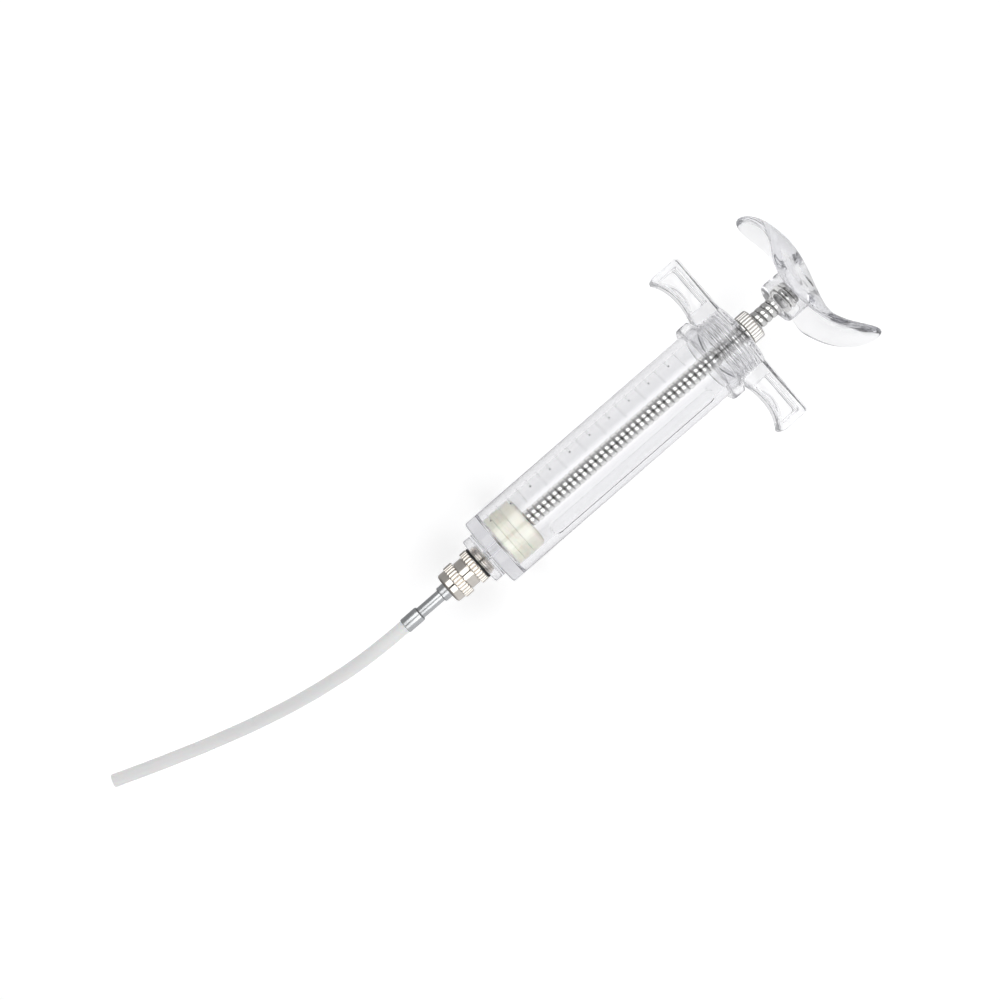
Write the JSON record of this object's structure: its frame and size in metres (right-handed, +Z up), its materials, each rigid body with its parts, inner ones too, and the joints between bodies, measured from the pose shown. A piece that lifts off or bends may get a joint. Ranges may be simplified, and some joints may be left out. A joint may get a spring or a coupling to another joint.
{
  "type": "dosing syringe",
  "caption": "Clear plastic dosing syringe with a metal screw plunger, dose nut, finger wings, curved palm handle and a soft tube on a metal cannula.",
  "frame": {"origin": "on the table under the middle of the syringe's bounding box, soft tube left out", "axes": "+X along the plunger from the nose to the palm handle, +Z up, finger wings along Y"},
  "size_m": [0.2693, 0.0612, 0.0362],
  "materials": {
    "clear_plastic": "polished clear polycarbonate",
    "cream_plastic": "smooth cream nylon",
    "cream_silicone": "soft cream silicone",
    "chromed_steel": "chromed rolled thread",
    "nickel_plate": "bright nickel on brass",
    "stainless_steel": "turned stainless steel",
    "black_rubber": "black rubber",
    "tube_silicone": "milky translucent soft tube"
  },
  "bodies": {
    "barrel": {"barrel": "clear_plastic", "cap_grip": "clear_plastic", "nose_gasket": "black_rubber", "nose_adaptor": "nickel_plate", "luer_seal": "black_rubber", "cannula_hub": "stainless_steel", "cannula_stem": "stainless_steel", "crimp_ferrule": "stainless_steel", "drench_tube": "tube_silicone"},
    "piston": {"piston_front": "cream_plastic", "piston_seal": "cream_silicone", "piston_rear": "cream_plastic"},
    "rod": {"plunger_rod": "chromed_steel", "handle": "clear_plastic"},
    "washer": {"dose_washer": "nickel_plate"},
    "nut": {"dose_nut": "nickel_plate"},
    "collar": {"luer_collar": "nickel_plate"}
  },
  "joints": [
    {"name": "plunger_slide", "type": "slide", "parent": "barrel", "child": "piston", "axis": [1, 0, 0], "range_m": [0, 0.08]},
    {"name": "rod_turn", "type": "hinge", "parent": "piston", "child": "rod", "pos_m": [0, 0, 0.01809], "axis": [1, 0, 0], "continuous": true},
    {"name": "nut_travel", "type": "slide", "parent": "rod", "child": "washer", "axis": [1, 0, 0], "range_m": [0, 0.0075]},
    {"name": "nut_turn", "type": "hinge", "parent": "washer", "child": "nut", "pos_m": [0, 0, 0.01809], "axis": [1, 0, 0], "range_deg": [0, 1290]},
    {"name": "collar_turn", "type": "hinge", "parent": "barrel", "child": "collar", "pos_m": [0, 0, 0.01809], "axis": [1, 0, 0], "continuous": true}
  ],
  "couplings": [
    {"joint": "nut_turn", "follows": "nut_travel", "rad_per_m": 2992}
  ]
}
